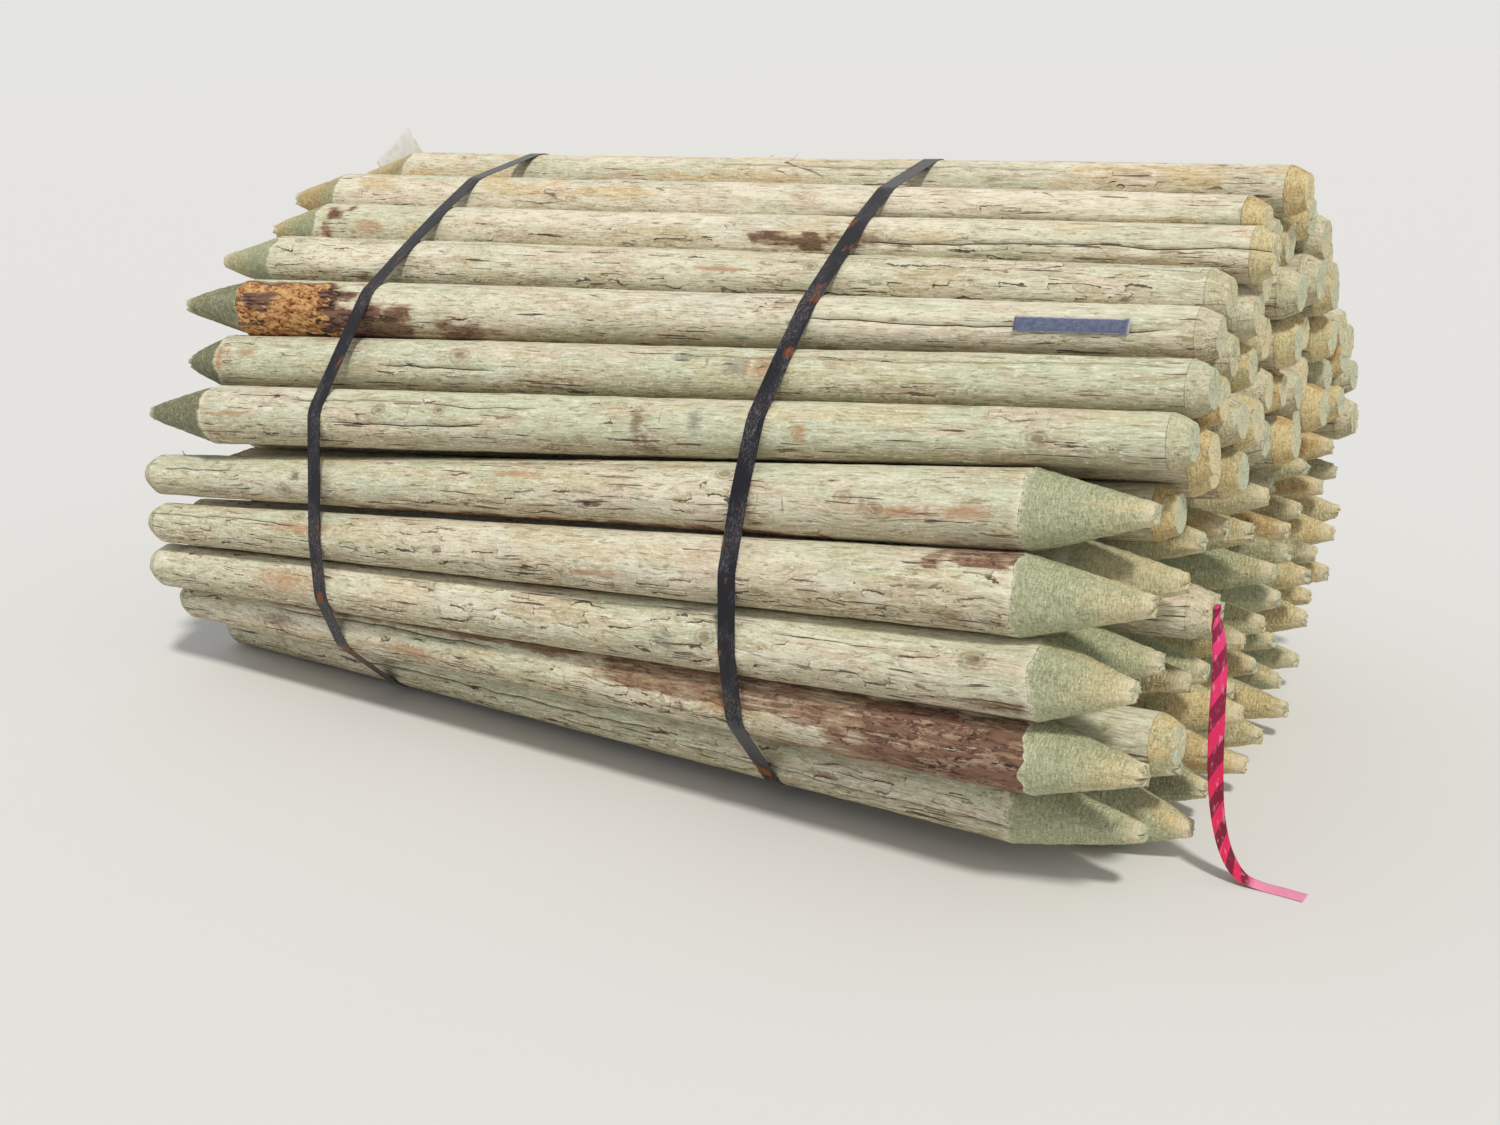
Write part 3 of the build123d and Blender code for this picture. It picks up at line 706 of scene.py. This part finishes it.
def treated_wood():
    """Pale green-grey wood with grain along the post, checks, knots, ridged points and ringed ends."""
    material, tree = new_material("treated_wood")
    given = {}
    for names, out in ((VECTOR_LOOKS, 1), (PLAIN_LOOKS, 2)):
        for name in names:
            given[name] = add_node(tree, "ShaderNodeAttribute", out=out, attribute_name=name)
    green, warm, seed = given["tone"].parts()
    checked, ridged, under = given["wear"].parts()
    broad, patches, blots = given["blotches"].parts()
    inner_x, inner_y, inner_z = given["in_post"].parts()
    shift = joined(seed * 31.0, seed * 17.0)
    place = given["in_post"] + shift

    # Grain: fibres that wander, ripples left by the peeler, hairline splits and drying lines low down. The
    # ripples carry painted shade in their hollows, deeper on the lower side, and a painted highlight on their
    # crests.
    warp = place.noise((6, 16), 2) - 0.5
    grain = place + warp * (0.0, 0.016, 0.016)
    curly = place + warp * (0.0, 0.045, 0.045)
    mottle = grain.noise((26, 95), 3, 0.6)
    fibres = grain.noise((11, 300), 2)
    flecks = grain.noise((130, 330), 2)
    ripples = curly.noise((34, 270), 3, 0.6, 0.6)
    lower = under.step(0.60, -0.30)
    lined = (lower * 0.75 + checked * 0.35) * patches.step(0.38, 0.60)
    lines = place.noise((18, 105), 3, 0.6, 1.0).away(0.5).step(0.036, 0.006)
    lines = lines * place.noise((45, 90), 2).step(0.48, 0.60) * lined
    split = (lower * 0.055 + (blots * 0.20 + grain.noise((7, 210), 2))).step(0.800, 0.825)

    # Chips: torn, overlapping flakes. They are read twice, a little apart towards the light, to paint a
    # shadow line under each raised edge and a highlight along its lit side.
    around = inner_z.worked("ARCTAN2", inner_y) * MEAN_RADIUS
    slow, quick = place.noise((14, 40), 1) - 0.5, place.noise((120, 260), 1) - 0.5
    sheet = joined(inner_x, around) + shift + slow * (0.05, 0.030, 0.0) + quick * (0.012, 0.0055, 0.0)
    chips = []
    for aside in ((0.0, 0.0, 0.0), LEDGE_SHADOW_OFFSET):
        inputs = {"Vector": sheet + aside, "Color1": (0, 0, 0, 1), "Color2": (1, 1, 1, 1)}
        inputs |= {"Scale": 1.0, "Mortar Size": 0.0, "Bias": 0.0}
        inputs |= {"Brick Width": CHIP[0], "Row Height": CHIP[1]}
        laid = {"offset": 0.37, "offset_frequency": 2, "squash": 1.6, "squash_frequency": 3}
        chips.append(add_node(tree, "ShaderNodeTexBrick", inputs, **laid))
    worn = (checked + (blots - 0.5) * 1.5).step(0.30, 0.62)
    steps = chips[1] - chips[0]
    ledge_shadows = steps.step(0.20, 0.60) * worn

    leaning = green + (broad - 0.5) * 1.6
    tone = coated(
        blended(leaning.step(0.15, 0.90), (240, 230, 206), (206, 210, 180)),
        ((patches - broad).step(0.0, 0.20), (202, 206, 184), 0.55),
        (patches.step(0.50, 0.70) * warm, (222, 192, 138), 0.9),
        (blots.step(0.54, 0.72), (222, 200, 178), 0.6),
        (mottle.step(0.50, 0.72), (182, 168, 132), 0.55),
        (mottle.step(0.48, 0.28), (250, 244, 226), 0.55),
        # Darker towards the side that faces down: partly painted shade, partly the dirtier, less bleached
        # wood there.
        (under.step(0.20, -0.70), (160, 146, 114), 0.6),
        (fibres.step(0.50, 0.76), (168, 150, 112), 0.55),
        (fibres.step(0.44, 0.22), (252, 246, 228), 0.45),
        (chips[0].step(0.50, 1.0) * worn, (184, 166, 128), 0.5),
        # Painted shade in the ripples' hollows, deeper on the side that faces down.
        (ripples.step(0.42, 0.30) * (lower * 0.6 + 0.4), (112, 92, 62), 0.6),
        (flecks.step(0.60, 0.68), (253, 248, 232), 0.55),
        (flecks.step(0.38, 0.30), (116, 94, 62), 0.30),
        # More painted shade in the ripples' hollows, then a painted highlight on their crests.
        (ripples.step(0.46, 0.34), (150, 132, 94), 0.50),
        (ripples.step(0.56, 0.68), (253, 247, 230), 0.45),
        # Painted highlight along the lit side of each chip's edge.
        (steps.step(-0.25, -0.75) * worn, (250, 243, 222), 0.65),
        (lines, (76, 60, 38), 0.75),
        (split, (60, 44, 28), 0.8),
        # Painted shadow lines under the chips' raised edges.
        (ledge_shadows, (56, 42, 26), 0.85),
    )

    # Stains with ragged outlines, the browned wood behind the cut, and knots with rings round them.
    ragged = place.noise((60, 210), 3, 0.75) - 0.5
    rubbed_x, rubbed_y, rubbed_tone = given["stain"].parts()
    to_stain = joined(rubbed_x, rubbed_y).length() + ragged * 3.2
    smear = coated(
        blended(rubbed_tone.step(0.2, 0.25), (124, 120, 106), (182, 128, 84)),
        (rubbed_tone.step(0.45, 0.5), (104, 72, 50)),
        (rubbed_tone.step(0.7, 0.75), (36, 24, 18)),
    )
    away_x, away_y, knot_tone = given["knot"].parts()
    far = joined(away_x, away_y).length() + (mottle - 0.5) * 1.6
    tone = coated(
        tone,
        (to_stain.step(1.35, 0.25), smear, 0.62),
        (given["rim"] * ragged.step(-0.05, 0.16), (200, 156, 100), 0.5),
        (far.step(2.8, 1.0) * (far * 9.0).worked("SINE").step(0.2, 1.0), (140, 116, 78), 0.20),
        (far.step(1.35, 1.0) * far.step(0.60, 0.95), (112, 84, 52), 0.36),
        (far.step(0.85, 0.35), blended(knot_tone, (74, 50, 32), (176, 150, 112)), 0.7),
    )

    # Cut slopes: the point and the chamfer, with the cutter's ridges and torn fibres.
    waves = inner_z * 0.22 + ((place.noise((10, 20), 2) - 0.5) * 0.060 + inner_x)
    ridges = (waves * 860.0).worked("SINE") * 0.5 + 0.5
    ridges = ridges * ridged.step(-0.2, 0.8) * patches.step(0.34, 0.58) * inner_x.step(0.32, 0.28)
    grit = place.noise((260, 360), 2, 0.7)
    fuzz = grain.noise((42, 300), 3, 0.65)
    chatter = place.noise((400, 100), 2, 0.6, 0.8)
    on_point = inner_x.step(0.42, 0.36)
    leaning = green + (blots - 0.5) + inner_x.step(-0.02, 0.20) * on_point
    sloped = coated(
        blended(warm.step(0.35, 0.60), (208, 198, 156), (222, 201, 148)),
        (blots.step(0.50, 0.66), (190, 192, 152), 0.55),
        (leaning.step(0.60, 1.20), (180, 186, 150)),
        (warm.step(0.62, 0.90) * blots.step(0.35, 0.60), (204, 154, 88), 0.65),
        # Darker grey-green points: weathering, and on some front posts painted shade as well.
        (((blots - 0.5) * 0.8 + given["weathered"]).step(0.25, 1.0) * on_point, (116, 120, 94), 0.9),
        (ridges, (112, 102, 64), 0.40),
        (chatter.step(0.50, 0.66), (112, 100, 62), 0.36),
        (chatter.step(0.48, 0.34), (246, 238, 204), 0.34),
        (fuzz.step(0.52, 0.68), (116, 100, 62), 0.40),
        (fuzz.step(0.44, 0.30), (246, 238, 204), 0.34),
        (grit.step(0.58, 0.70), (78, 66, 42), 0.45),
        (inner_x.step(0.034, 0.004), (238, 226, 192), 0.70),
    )
    fresh = on_point.worked("MAXIMUM", warm.step(0.34, 0.54))
    sloped = blended(between(fresh, 0.30, 1.0), tone, sloped)

    # Sawn ends, with growth rings and cracks that run out from the heart.
    across = given["in_post"] * (0.0, 1.0, 1.0)
    rings = ((blots * 0.012 + across.length()) * 1900.0).worked("SINE").step(0.0, 1.0)
    spokes = (seed * 0.2 + across.worked("NORMALIZE").noise(3.2, 2)).away(0.6)
    sawn = coated(
        blended((green + (patches - 0.5)).step(0.2, 0.7), (230, 216, 172), (204, 208, 178)),
        (rings, (156, 134, 86), 0.28),
        (grit.step(0.52, 0.68), (108, 92, 56), 0.50),
        (grit.step(0.44, 0.30), (236, 230, 200), 0.50),
        (spokes.step(0.016, 0.004), (70, 52, 32), 0.55),
    )
    tone = coated(
        tone,
        (given["cut"], sloped),
        (given["foot"] * ragged.step(-0.08, 0.06), (246, 240, 216), 0.75),
        (given["end"], sawn),
    )

    # Bark: brown skin where it is thin, smooth inner bark over that, and orange crust where it is whole.
    bark = given["bark"]
    flakes = place.noise((48, 110), 4, 0.72, 0.8)
    streaks = grain.noise((16, 150), 3, 0.6)
    broken = (flakes - 0.5) + (streaks - 0.5)
    skin = blended(((streaks - 0.5) * 1.3 + bark).step(0.10, 0.55), tone, (144, 104, 76), 0.8)
    smooth = coated(
        blended(streaks.step(0.38, 0.60), (62, 42, 38), (140, 106, 88)),
        (patches.step(0.48, 0.66), (128, 108, 84), 0.75),
        # Drying lines and the painted ledge shadows, dark on the inner bark.
        (lines.worked("MAXIMUM", ledge_shadows), (40, 26, 22), 0.7),
    )
    crust = blended(flakes.step(0.38, 0.62), (140, 76, 40), (228, 182, 122))
    whole = (broken * 0.35 + (bark * 2.0 + blots)).step(2.36, 2.44)
    scales = coated(smooth, (whole, crust), (flakes.step(0.43, 0.33), (50, 30, 24), 0.75))
    tone = coated(
        tone,
        (bark.step(0.02, 0.20), skin),
        ((bark + broken).step(0.52, 0.62), scales),
        # Painted shade inside the cracks, nearly black, over their cut-in grooves.
        (given["crack"], (42, 30, 20), 0.92),
    )

    heights = ripples * (lower * 0.6 + 0.6) + fibres * 0.35 + flecks * 0.30
    heights = heights + chips[0] * worn * -0.55 + split * -0.60
    heights = between(given["cut"] + given["end"], heights, fuzz * -0.9 + chatter * -1.5)
    heights = between(bark.step(0.3, 0.5), heights, flakes * 3.2)
    rough = {"Value": fibres, "From Min": 0.2, "From Max": 0.8, "To Min": 0.74, "To Max": 0.92}
    rough = add_node(tree, "ShaderNodeMapRange", rough)
    return finish_material(material, tone, rough, heights, 0.0018, 1.0, specular=0.22)


def put_in(name, data):
    """Puts a mesh, a light or a camera into the scene."""
    placed = bpy.data.objects.new(name, data)
    bpy.context.scene.collection.objects.link(placed)
    return placed


def add_piece(name, mesh, slot, *replaced):
    """Puts a finished mesh on the bundle, in place of the CAD nodes that it stands for."""
    piece = put_in(name, mesh)
    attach(piece, "root")
    if replaced:
        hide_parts(*replaced)
    return piece


wood = treated_wood()
for layer in LAYERS:
    whole, start = [], 0
    for post in posts:
        if post["layer"] == layer:
            laid, count = lay_post(post)
            for points, quads, triangles, closed in laid:
                whole.append((points, quads + start, triangles + start, closed))
            start += count
    values = {name: np.concatenate([part[3][name] for part in whole]) for name in whole[0][3]}
    mesh = new_mesh(layer + "_wood", *(np.concatenate([part[i] for part in whole]) for i in range(3)), values)
    mesh.materials.append(wood)
    add_piece(layer + "_wood", mesh, "treated_wood", layer)


# Straps and their seals. Steel band painted blue-black, 32 mm wide, pulled tight round the posts and
# held by a crimped sleeve. The paint is scuffed to bare metal, and rust has started at the bends.
def weathered_paint():
    """Node group: dark paint, scuffed along the band in broken flecks, with rust in spots and low down."""
    group = bpy.data.node_groups.new("weathered_paint", "ShaderNodeTree")
    for name, kind in (("Paint", "Color"), ("Scuff", "Color"), ("Worn", "Float"), ("Rusting", "Float")):
        group.interface.new_socket(name, in_out="INPUT", socket_type="NodeSocket" + kind)
    for name, kind in (("Color", "Color"), ("Roughness", "Float"), ("Height", "Float")):
        group.interface.new_socket(name, in_out="OUTPUT", socket_type="NodeSocket" + kind)
    given = [Field(output) for output in group.nodes.new("NodeGroupInput").outputs[:4]]
    paint_colour, scuff, worn, rusting = given
    place = add_node(group, "ShaderNodeTexCoord", out=3)
    flecks = place.noise((700, 130), 5, 0.75, 0.5)
    speckle = place.noise((380, 260), 4, 0.7, 0.8)
    areas = place.noise((24, 12), 4)
    broken = flecks.step(0.52, 0.62).worked("MAXIMUM", speckle.step(0.56, 0.66))
    scuffed = broken * areas.step(0.40, 0.66) * worn
    low = place.parts()[2].step(0.48, 0.12)
    rusty = (low * 0.05 + rusting + place.noise((30, 16), 5, 0.6, 0.3)).step(0.62, 0.69)
    tone = coated(
        blended(areas.step(0.50, 0.66), paint_colour, (40, 34, 34), 0.6),
        (scuffed, scuff),
        (rusty, blended(speckle.step(0.35, 0.65), (82, 44, 28), (170, 98, 50)), 0.85),
    )
    put_out = group.nodes.new("NodeGroupOutput").inputs
    connect(group, tone, put_out["Color"])
    connect(group, between(rusty, scuffed * 0.30 + 0.26, 0.85), put_out["Roughness"])
    connect(group, scuffed * -0.6 + rusty, put_out["Height"])
    return group


def painted_steel(name, paint_colour, scuff, worn, rusting):
    """Semi-gloss dark paint with the wear of the group above, at this piece's own strength."""
    material, tree = new_material(name)
    wear = tree.nodes.new("ShaderNodeGroup")
    wear.node_tree = worn_paint
    for socket, value in zip(wear.inputs, (paint_colour, scuff, worn, rusting)):
        connect(tree, value, socket)
    colour, roughness, height = (Field(output) for output in wear.outputs)
    return finish_material(material, colour, roughness, height, 0.0004, 0.7, specular=0.35)


worn_paint = weathered_paint()
strap_paint = painted_steel("strap_paint", (9, 11, 23), (122, 118, 126), 0.80, 0.015)
seal_paint = painted_steel("seal_paint", (30, 32, 40), (150, 148, 150), 1.0, 0.03)
for node in ("left_strap", "right_strap", "left_strap_seal", "right_strap_seal"):
    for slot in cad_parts[node].material_slots:
        slot.material = seal_paint if node.endswith("seal") else strap_paint


# Label plate. A bare strip of thin blue-grey card under film, bent round a post near its right end and
# stapled at its left one. It is worn pale along its edges, and its right end stands up.
LABEL_POST = 5
LABEL_X = (0.675, 0.850)
LABEL_DEGREES = (9.0, 37.0)
LABEL_THICKNESS = 0.0007
LABEL_ABOVE = 0.0026


def thin_shell(surface, thickness):
    """A closed shell from a grid of points: the grid, the same grid set back along its normals, and a rim.

    The set-back is along the cross product of the grid's two directions, taken at each point.
    """
    normal = unit(np.cross(*np.gradient(surface, axis=(0, 1))))
    rows, columns = surface.shape[:2]
    points = np.concatenate([surface.reshape(-1, 3), (surface - thickness * normal).reshape(-1, 3)])
    number = np.arange(rows * columns).reshape(rows, columns)
    front = np.stack([number[:-1, :-1], number[1:, :-1], number[1:, 1:], number[:-1, 1:]], -1).reshape(-1, 4)
    back = front[:, ::-1] + rows * columns
    edge = np.concatenate([number[0, :-1], number[:-1, -1], number[-1, :0:-1], number[:0:-1, 0]])
    after = np.roll(edge, -1)
    rim = np.stack([edge, after, after + rows * columns, edge + rows * columns], -1)
    return points, np.concatenate([front, back, rim])


def sheet_grid(rows, columns):
    """How far along and across a sheet each of its corners is, from 0 to 1."""
    return np.meshgrid(np.linspace(0, 1, rows), np.linspace(0, 1, columns), indexing="ij")


def sheet_mesh(name, surface, thickness, material):
    """A thin shell as a mesh, with an attribute named lie that runs from 0 to 1 over the grid."""
    points, quads = thin_shell(surface, thickness)
    u, v = sheet_grid(*surface.shape[:2])
    lie = np.stack([u, v, 0 * u], -1).reshape(-1, 3)
    mesh = new_mesh(name, points, quads, np.zeros((0, 3), int), {"lie": np.concatenate([lie, lie])})
    mesh.materials.append(material)
    return mesh


def over_sheet(tree):
    """A sheet's own place in space, and how far along and across it each point is, from 0 to 1."""
    u, v, _ = add_node(tree, "ShaderNodeAttribute", out=1, attribute_name="lie").parts()
    return add_node(tree, "ShaderNodeTexCoord", out=3), u, v


def label_film():
    """Blue-grey film with faint mottling, scuffed pale along its edges and where it was rubbed."""
    material, tree = new_material("label_film")
    place, u, v = over_sheet(tree)
    mottled = place.noise(160, 4)
    rubbed = place.noise((60, 600), 4, 0.65, 0.3)
    to_side = v.worked("MINIMUM", v * -1.0 + 1.0)
    to_edge = (u * -3.0 + 3.0).worked("MINIMUM", to_side) + (mottled - 0.5) * 0.20
    tone = coated(
        blended(mottled.step(0.35, 0.65), (84, 92, 118), (104, 112, 138)),
        (rubbed.step(0.55, 0.70), (138, 142, 166), 0.6),
        (to_edge.step(0.10, 0.0), (196, 190, 200), 0.8),
    )
    return finish_material(material, tone, between(rubbed, 0.35, 0.55), mottled, 0.0004, 0.4)


label_post = front_row[LABEL_POST]
u, v = sheet_grid(49, 13)
(from_tip, lowest), (to_tip, highest) = (on_post(label_post, *ends) for ends in zip(LABEL_X, LABEL_DEGREES))
s = from_tip + (to_tip - from_tip) * u
turned = highest + (lowest - highest) * v
radius = np.interp(s, [label_post["point"], label_post["length"]], label_post["radii"][1:3])
curl = 0.0035 * soft_step(u, 0.90, 1.0) + 0.0012 * (1 - soft_step(u, 0.0, 0.05))
out = radius + LABEL_ABOVE + curl + 0.0004 * np.sin(9 * u + 2 * v) * np.sin(np.pi * u)
surface = np.stack([s, out * np.cos(turned), out * np.sin(turned)], -1)
surface = label_post["tip"] + surface @ label_post["axes"]
if np.cross(surface[1, 0] - surface[0, 0], surface[0, 1] - surface[0, 0])[1] > 0:
    surface = surface[:, ::-1]
add_piece("label_plate", sheet_mesh("label_plate", surface, LABEL_THICKNESS, label_film()), "tag_paper")


# Paper tag. A sheet of stiff white paper stapled behind the point of the top post, with one corner up.
# It has curled a little in the sun and has soft dirt along its lower edge.
TAG_CURL = 0.006
TAG_THICKNESS = 0.0004


def tag_paper():
    """White paper with faint clouding, a soft crease and dirt near its lower edge."""
    material, tree = new_material("tag_paper")
    place, _, v = over_sheet(tree)
    cloudy, fibre = place.noise(60, 4), place.noise(900)
    dirt = (cloudy - 0.5) * 0.5 + v
    tone = coated(
        blended(cloudy.step(0.4, 0.7), (246, 245, 240), (232, 229, 220)),
        (dirt.step(0.25, 0.0), (176, 164, 138), 0.7),
        (fibre.step(0.62, 0.75), (206, 200, 186), 0.3),
    )
    return finish_material(material, tone, 0.75, cloudy + fibre, 0.0003, 0.4)


points = [tuple(corner.co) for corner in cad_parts["paper_tag"].data.vertices]
points = np.unique(np.round(points, 5), axis=0)
front = points[points[:, 1] < points[:, 1].mean()]
corner = front[front[:, 2].argmin()]
_, short_side, long_side, _ = sorted(front - corner, key=np.linalg.norm)
u, v = sheet_grid(29, 17)
lift = TAG_CURL * (1.6 * np.clip(v - 0.45, 0, 1) ** 2 + 0.35 * u * np.clip(v - 0.3, 0, 1))
lift = lift + 0.0004 * np.sin(7 * u + 3 * v)
surface = corner + u[..., None] * long_side + v[..., None] * short_side
surface = np.clip(surface + np.stack([0 * u, lift, 0 * u], -1), *cad_box)
tag = sheet_mesh("paper_tag_sheet", surface, TAG_THICKNESS, tag_paper())
add_piece("paper_tag_sheet", tag, "tag_paper", "paper_tag")


# Flagging tape. A ribbon of thin pink film with slanted dark bands, stapled to the right end of a post. It
# hangs past the ends below, bows out as the wind has left it, and its tail lies on the ground.
TAPE_WIDTH = 0.026
TAPE_FILM = 0.0004
TAPE_ROWS = 121
INSIDE_BOX = 0.0006
tape_low, tape_high = (np.array(corner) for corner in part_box("flagging_tape"))
tape_start = np.array([tape_low[0] + 0.0003, (tape_low[1] + tape_high[1]) / 2, 0.0])
TAPE_LINE = np.array(
    [
        (0.001, 0.000, 1.00),
        (0.005, -0.002, 0.93),
        (0.012, -0.003, 0.80),
        (0.013, -0.004, 0.60),
        (0.016, -0.003, 0.40),
        (0.024, 0.000, 0.24),
        (0.040, 0.004, 0.11),
        (0.064, 0.008, 0.028),
        (0.095, 0.010, 0.006),
        (0.128, 0.010, 0.004),
        (0.160, 0.008, 0.004),
    ]
)


def smooth_line(points, count):
    """A line through points that never bends sharply: each stretch is a cubic between its neighbours."""
    padded = np.concatenate([points[:1] * 2 - points[1:2], points, points[-1:] * 2 - points[-2:-1]])
    place = np.linspace(0, len(points) - 1, count)
    i = np.minimum(place.astype(int), len(points) - 2)
    t = (place - i)[:, None]
    a, b, c, d = (padded[i + step] for step in range(4))
    return 0.5 * (2 * b + (c - a) * t + (2 * a - 5 * b + 4 * c - d) * t**2 + (3 * b - a - 3 * c + d) * t**3)


def banded_film():
    """Pink film with slanted crimson bands, faded towards the end that lies in the sun, and creased, with a
    painted highlight on the creases.
    """
    material, tree = new_material("tape_film")
    place, u, v = over_sheet(tree)
    band = (u * 11.5 + v * 0.45).worked("PINGPONG", 0.5)
    crease_and_sheen = place.noise((160, 160, 60), 4)
    tone = coated(
        blended(u.step(0.10, 0.45), (230, 58, 118), (216, 34, 84)),
        (band.step(0.23, 0.26), blended(u.step(0.20, 0.50), (142, 26, 64), (122, 18, 46))),
        (u.step(0.72, 0.78), (248, 156, 192), 0.92),
        # Painted highlight on the film's creases.
        (crease_and_sheen.step(0.56, 0.70), (252, 176, 206), 0.35),
    )
    return finish_material(material, tone, 0.42, crease_and_sheen, 0.0012, 0.5, specular=0.25)


line = tape_start + smooth_line(TAPE_LINE * (1, 1, tape_high[2]), TAPE_ROWS)
step = unit(np.gradient(line, axis=0))
u = np.linspace(0, 1, TAPE_ROWS)
hanging = soft_step(u, 0.02, 0.16) * (1 - soft_step(u, 0.52, 0.84))
twist = np.pi / 2 - 0.70 * hanging + 0.16 * np.sin(14 * u) * hanging
width_way = np.stack([np.cos(twist), np.sin(twist), 0 * u], -1)
width_way = unit(width_way - (width_way * step).sum(axis=1)[:, None] * step)
facing = np.cross(width_way, step)
v = np.linspace(-1, 1, 9)
wide = TAPE_WIDTH / 2 * (0.35 + 0.65 * soft_step(u, 0.0, 0.12))[:, None] * v
pleat = 0.0040 * (1 - soft_step(u, 0.0, 0.10))[:, None] * np.cos(2 * np.pi * v)
cup = 0.0016 * (np.sin(11 * u) * hanging)[:, None] * v**2
surface = line[:, None, :] + wide[..., None] * width_way[:, None, :]
surface = surface + (pleat + cup)[..., None] * facing[:, None, :]
surface = np.clip(surface, np.array(cad_box[0]) + INSIDE_BOX, np.array(cad_box[1]) - INSIDE_BOX)
tape = sheet_mesh("flagging_tape_film", surface, TAPE_FILM, banded_film())
tape = add_piece("flagging_tape_film", tape, "tape_film", "flagging_tape")
tape_holder = post_at((tape_start[1], tape_high[2] - 0.02))
tape_holder["layer"] + "_wood"


# Floor, light and camera. A wide pale floor and an even sky, with one soft sun high behind the camera and a
# little to its right. The backdrop's own colour is only what is looked at, and lights nothing.
FLOOR_REACH = 200
floor_mesh = bpy.data.meshes.new("floor")
corners = [(x * FLOOR_REACH, y * FLOOR_REACH, 0) for x, y in ((-1, -1), (1, -1), (1, 1), (-1, 1))]
floor_mesh.from_pydata(corners, [], [(0, 1, 2, 3)])
floor_look, floor_tree = new_material("floor_look")
floor_tree.nodes["Principled BSDF"].inputs["Base Color"].default_value = (0.78, 0.77, 0.75, 1)
floor_tree.nodes["Principled BSDF"].inputs["Roughness"].default_value = 0.9
floor_mesh.materials.append(floor_look)
put_in("floor", floor_mesh)

world = bpy.data.worlds.new("sky")
world.use_nodes = True
sky = world.node_tree
sky_light = sky.nodes["Background"]
sky_light.inputs["Color"].default_value = (0.94, 0.96, 1.0, 1)
sky_light.inputs["Strength"].default_value = 0.50
backdrop = add_node(sky, "ShaderNodeBackground", {"Color": (0.785, 0.780, 0.755, 1)})
rays = sky.nodes.new("ShaderNodeLightPath").outputs
looked_at = Field(rays["Is Camera Ray"])
for way in ("Is Glossy Ray", "Is Transmission Ray"):
    looked_at = looked_at.worked("MAXIMUM", Field(rays[way]))
either = add_node(sky, "ShaderNodeMixShader", {0: looked_at, 1: Field(sky_light.outputs[0]), 2: backdrop})
connect(sky, either, sky.nodes["World Output"].inputs["Surface"])
bpy.context.scene.world = world

sun = put_in("key_light", bpy.data.lights.new("key_light", "SUN"))
sun.data.energy = 2.0
sun.data.angle = 0.12
sun.data.color = (1.0, 0.97, 0.91)
sun.rotation_euler = Vector((0.50, -0.45, 1.0)).to_track_quat("Z", "Y").to_euler()

FOCAL_PIXELS = 1521.9
PICTURE_WIDTH = 1500.0
SENSOR_WIDTH = 36.0
CAMERA_PLACE = (1.5663, -2.5563, 1.2152)
PITCH, ROLL, YAW = 0.3172, 0.0290, 0.5720
forward = np.array([-np.sin(YAW) * np.cos(PITCH), np.cos(YAW) * np.cos(PITCH), -np.sin(PITCH)])
level = np.array([np.cos(YAW), np.sin(YAW), 0.0])
down = np.cross(forward, level)
right = np.cos(ROLL) * level + np.sin(ROLL) * down
down = -np.sin(ROLL) * level + np.cos(ROLL) * down
camera = put_in("camera", bpy.data.cameras.new("camera"))
camera.data.sensor_width = SENSOR_WIDTH
camera.data.lens = FOCAL_PIXELS / PICTURE_WIDTH * SENSOR_WIDTH
turn = np.eye(4)
turn[:3, 0], turn[:3, 1], turn[:3, 2], turn[:3, 3] = right, -down, -forward, CAMERA_PLACE
camera.matrix_world = Matrix(turn.tolist())
bpy.context.scene.camera = camera
bpy.context.scene.view_settings.view_transform = "Standard"
